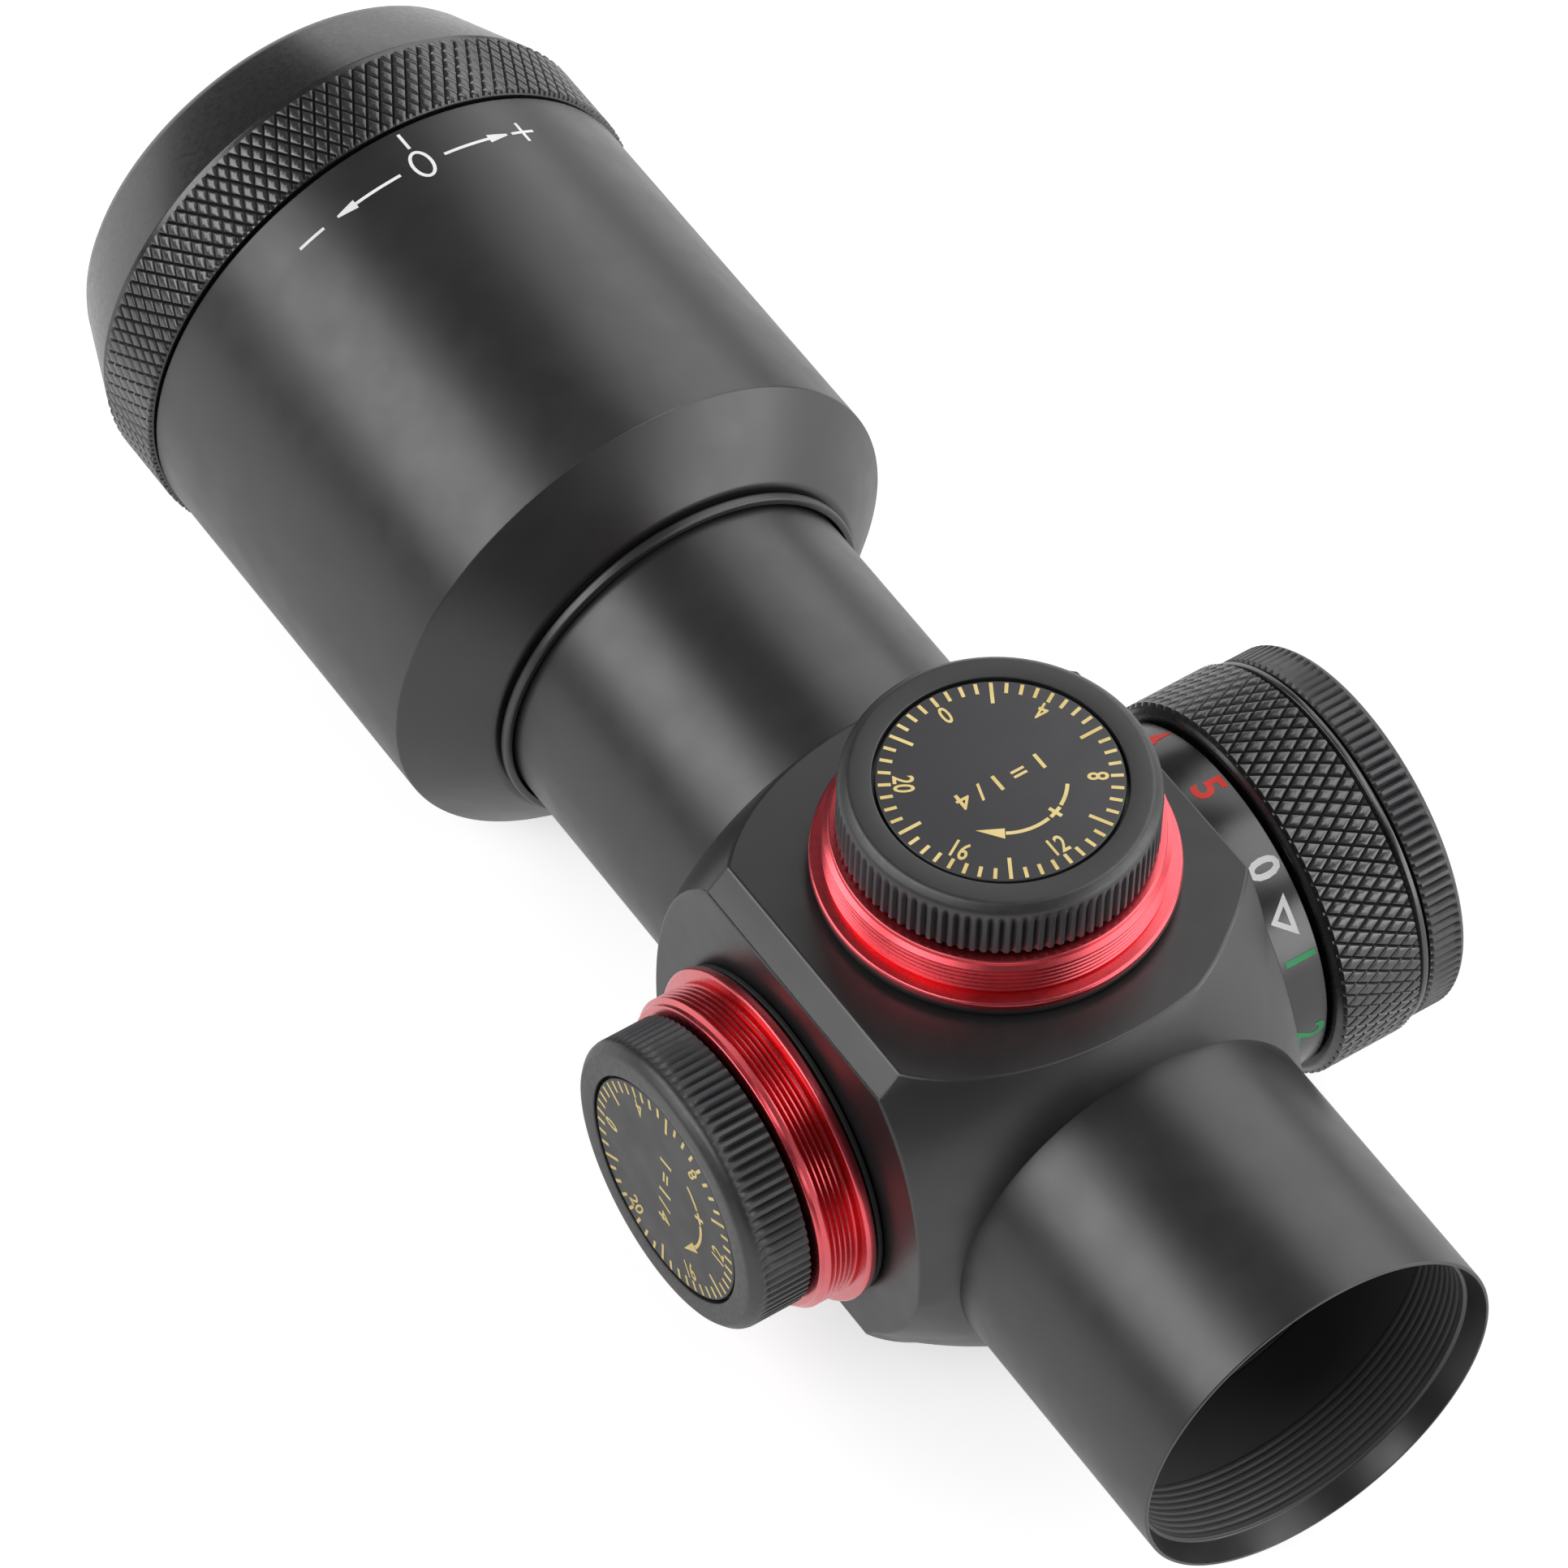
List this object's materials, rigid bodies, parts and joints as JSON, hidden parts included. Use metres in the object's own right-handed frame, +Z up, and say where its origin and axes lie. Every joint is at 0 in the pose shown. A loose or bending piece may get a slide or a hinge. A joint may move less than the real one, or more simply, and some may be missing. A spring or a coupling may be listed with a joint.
{
  "type": "illuminated finder sight",
  "caption": "Compact finder sight with a lit reticle: round tube with milled saddle, knurled focusing eyepiece, red-based click turrets and a battery knob on the left.",
  "frame": {"origin": "where the elevation and windage turret axes cross the optical axis", "axes": "+Y forward along the optical axis to the objective, +Z up through the elevation turret, +X right through the windage turret"},
  "size_m": [0.0606, 0.136, 0.0507],
  "materials": {
    "black_anodised": "matte black anodised",
    "red_anodised": "satin red anodised",
    "dial_black": "fine matte black with pale marks",
    "black_rubber": "matte",
    "brass": "turned",
    "steel": "turned",
    "coated_glass": "coated",
    "board_green": "lacquered board",
    "lamp_red": "clear red",
    "lead_skin": "insulation"
  },
  "bodies": {
    "housing": {"main_tube": "black_anodised", "objective_lens": "coated_glass", "objective_ring": "black_anodised", "eyepiece_body": "black_anodised", "eyepiece_lock_ring": "black_anodised", "focus_key_pin": "steel", "elevation_gasket": "black_rubber", "elevation_base": "red_anodised", "windage_gasket": "black_rubber", "windage_base": "red_anodised", "gimbal_pin_left": "steel", "gimbal_pin_right": "steel", "erector_spring": "steel", "illumination_hub": "black_anodised", "hub_clip": "steel", "circuit_board": "board_green", "contact_spring": "brass", "lamp_lead": "lead_skin"},
    "diopter": {"diopter_ring": "black_anodised", "diopter_seal": "black_rubber"},
    "ocular": {"ocular_cell": "black_anodised", "field_lens": "coated_glass", "ocular_spacer": "black_anodised", "eye_lens": "coated_glass", "ocular_ring": "black_anodised"},
    "elevation_knob": {"elevation_cap": "black_anodised", "elevation_dial": "dial_black", "elevation_spindle": "brass", "elevation_cap_screw": "steel", "elevation_click_ball": "steel", "elevation_click_spring": "steel"},
    "elevation_screw": {"elevation_plunger": "steel"},
    "windage_knob": {"windage_cap": "black_anodised", "windage_dial": "dial_black", "windage_spindle": "brass", "windage_cap_screw": "steel", "windage_click_ball": "steel", "windage_click_spring": "steel"},
    "windage_screw": {"windage_plunger": "steel"},
    "gimbal": {"gimbal_ring": "brass", "gimbal_pin_top": "steel", "gimbal_pin_bottom": "steel"},
    "erector": {"erector_tube": "black_anodised", "erector_lens_rear": "coated_glass", "erector_spacer": "black_anodised", "erector_lens_front": "coated_glass", "erector_ring": "brass", "reticle_glass": "coated_glass", "reticle_ring": "brass", "reticle_lamp": "lamp_red"},
    "brightness_knob": {"number_sleeve": "black_anodised", "grip_ring": "black_anodised", "coin_cell": "steel"},
    "battery_cap_lift": {"battery_cap_seal": "black_rubber"},
    "battery_cap_turner": {"battery_cap": "black_anodised"}
  },
  "joints": [
    {"name": "elevation_turn", "type": "hinge", "parent": "housing", "child": "elevation_knob", "pos_m": [0, 0, 0.0183], "axis": [0, 0, 1], "range_deg": [-450, 450]},
    {"name": "elevation_travel", "type": "slide", "parent": "housing", "child": "elevation_screw", "axis": [0, 0, 1], "range_m": [-0.00063, 0.00063]},
    {"name": "elevation_tilt", "type": "hinge", "parent": "housing", "child": "gimbal", "pos_m": [0, -0.04, 0], "axis": [1, 0, 0], "range_deg": [-0.9, 0.9], "deforming": ["erector_spring"]},
    {"name": "windage_turn", "type": "hinge", "parent": "housing", "child": "windage_knob", "pos_m": [0.0178, 0, 0], "axis": [1, 0, 0], "range_deg": [-450, 450]},
    {"name": "windage_travel", "type": "slide", "parent": "housing", "child": "windage_screw", "axis": [1, 0, 0], "range_m": [-0.00063, 0.00063]},
    {"name": "windage_tilt", "type": "hinge", "parent": "gimbal", "child": "erector", "pos_m": [0, -0.04, 0], "axis": [0, 0, -1], "range_deg": [-0.9, 0.9], "deforming": ["erector_spring"]},
    {"name": "brightness_turn", "type": "hinge", "parent": "housing", "child": "brightness_knob", "pos_m": [-0.0155, 0, 0], "axis": [-1, 0, 0], "range_deg": [-150, 150]},
    {"name": "battery_cap_travel", "type": "slide", "parent": "brightness_knob", "child": "battery_cap_lift", "axis": [-1, 0, 0], "range_m": [0, 0.00211]},
    {"name": "battery_cap_turn", "type": "hinge", "parent": "battery_cap_lift", "child": "battery_cap_turner", "pos_m": [-0.0295, 0, 0], "axis": [-1, 0, 0], "range_deg": [0, 1008]},
    {"name": "diopter_turn", "type": "hinge", "parent": "housing", "child": "diopter", "pos_m": [0, -0.0796, 0], "axis": [0, 1, 0], "range_deg": [-120, 120]},
    {"name": "ocular_travel", "type": "slide", "parent": "housing", "child": "ocular", "axis": [0, 1, 0], "range_m": [-0.00121, 0.00121]}
  ],
  "couplings": [
    {"joint": "elevation_travel", "follows": "elevation_turn", "m_per_rad": 0.000079577},
    {"joint": "elevation_tilt", "follows": "elevation_turn", "ratio": 0.0019894},
    {"joint": "windage_travel", "follows": "windage_turn", "m_per_rad": 0.000079577},
    {"joint": "windage_tilt", "follows": "windage_turn", "ratio": 0.0019894},
    {"joint": "battery_cap_travel", "follows": "battery_cap_turn", "m_per_rad": 0.00011937},
    {"joint": "ocular_travel", "follows": "diopter_turn", "m_per_rad": 0.00057296}
  ]
}
